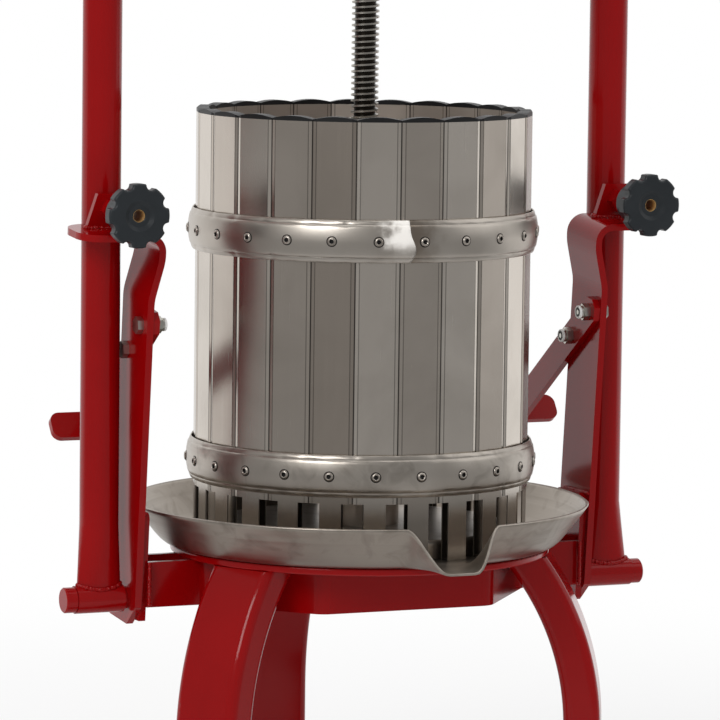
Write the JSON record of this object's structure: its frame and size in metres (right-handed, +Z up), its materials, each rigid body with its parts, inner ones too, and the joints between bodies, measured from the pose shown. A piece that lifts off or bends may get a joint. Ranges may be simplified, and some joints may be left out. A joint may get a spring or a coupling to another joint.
{
  "type": "fruit press",
  "caption": "Screw fruit press: slatted steel basket in a spouted juice tray on a red three-legged stand, with a hinged screw gantry that star knobs lock upright.",
  "frame": {"origin": "on the floor under the screw axis, which is the middle of the overall box", "axes": "+Z up along the screw, -Y to the front where the spout is, +X to the right seen from the front"},
  "size_m": [0.5534, 0.431, 1.1294],
  "materials": {
    "red_paint": "gloss red enamel",
    "stainless": "satin stainless",
    "zinc": "zinc plated steel",
    "black_plastic": "satin black",
    "knob_plastic": "moulded black",
    "brass": "turned brass"
  },
  "bodies": {
    "base": {"base_plate": "red_paint", "front_band": "red_paint", "rear_band": "red_paint", "side_plate_left": "red_paint", "side_plate_right": "red_paint", "strap_left": "red_paint", "strap_right": "red_paint", "lock_plate_left": "red_paint", "lock_plate_right": "red_paint", "leg_front_left": "red_paint", "leg_front_right": "red_paint", "leg_rear": "red_paint", "tilt_arm_left": "red_paint", "tilt_arm_right": "red_paint", "pivot_pin_left": "red_paint", "pivot_pin_right": "red_paint", "lock_nuts": "red_paint", "pivot_washers": "red_paint", "arm_bolts": "zinc", "arm_nuts": "zinc", "shoe_front_left": "black_plastic", "shoe_front_right": "black_plastic", "shoe_rear": "black_plastic"},
    "gantry": {"upright_left": "red_paint", "upright_right": "red_paint", "pivot_tube_left": "red_paint", "pivot_tube_right": "red_paint", "crossbeam": "red_paint", "crossbeam_caps": "black_plastic", "screw_nut": "brass"},
    "press_foot": {"thrust_foot": "zinc"},
    "screw": {"screw": "zinc", "handle_hub": "zinc", "handle_bar": "zinc", "grip_left": "knob_plastic", "grip_right": "knob_plastic"},
    "tray": {"tray": "stainless"},
    "basket": {"slats": "stainless", "slat_caps": "black_plastic", "hoop_lower": "stainless", "hoop_upper": "stainless", "rivets_lower": "stainless", "rivets_upper": "stainless"},
    "press_plate": {"press_plate": "stainless", "press_boss": "stainless"},
    "knob_left": {"knob_left": "knob_plastic", "knob_insert_left": "brass", "knob_stud_left": "zinc"},
    "knob_right": {"knob_right": "knob_plastic", "knob_insert_right": "brass", "knob_stud_right": "zinc"}
  },
  "joints": [
    {"name": "gantry_tilt", "type": "hinge", "parent": "base", "child": "gantry", "pos_m": [0, 0.002, 0.218], "axis": [-1, 0, 0], "range_deg": [0, 16]},
    {"name": "screw_feed", "type": "slide", "parent": "gantry", "child": "press_foot", "axis": [0, 0, 1], "range_m": [-0.25, 0.12]},
    {"name": "screw_turn", "type": "hinge", "parent": "press_foot", "child": "screw", "pos_m": [0, 0, 0.62], "axis": [0, 0, 1], "range_deg": [-18000, 8640]},
    {"name": "tray_lift", "type": "slide", "parent": "base", "child": "tray", "axis": [0, 0, 1], "range_m": [0, 0.02]},
    {"name": "basket_lift", "type": "slide", "parent": "tray", "child": "basket", "axis": [0, 0, 1], "range_m": [0, 0.04]},
    {"name": "plate_lift", "type": "slide", "parent": "tray", "child": "press_plate", "axis": [0, 0, 1], "range_m": [0, 0.28]},
    {"name": "knob_left_turn", "type": "hinge", "parent": "base", "child": "knob_left", "pos_m": [-0.23965, -0.06, 0.55209], "axis": [0, -1, 0], "continuous": true},
    {"name": "knob_right_turn", "type": "hinge", "parent": "base", "child": "knob_right", "pos_m": [0.23965, -0.06, 0.55209], "axis": [0, -1, 0], "continuous": true}
  ],
  "couplings": [
    {"joint": "screw_feed", "follows": "screw_turn", "m_per_rad": 0.00079577}
  ]
}
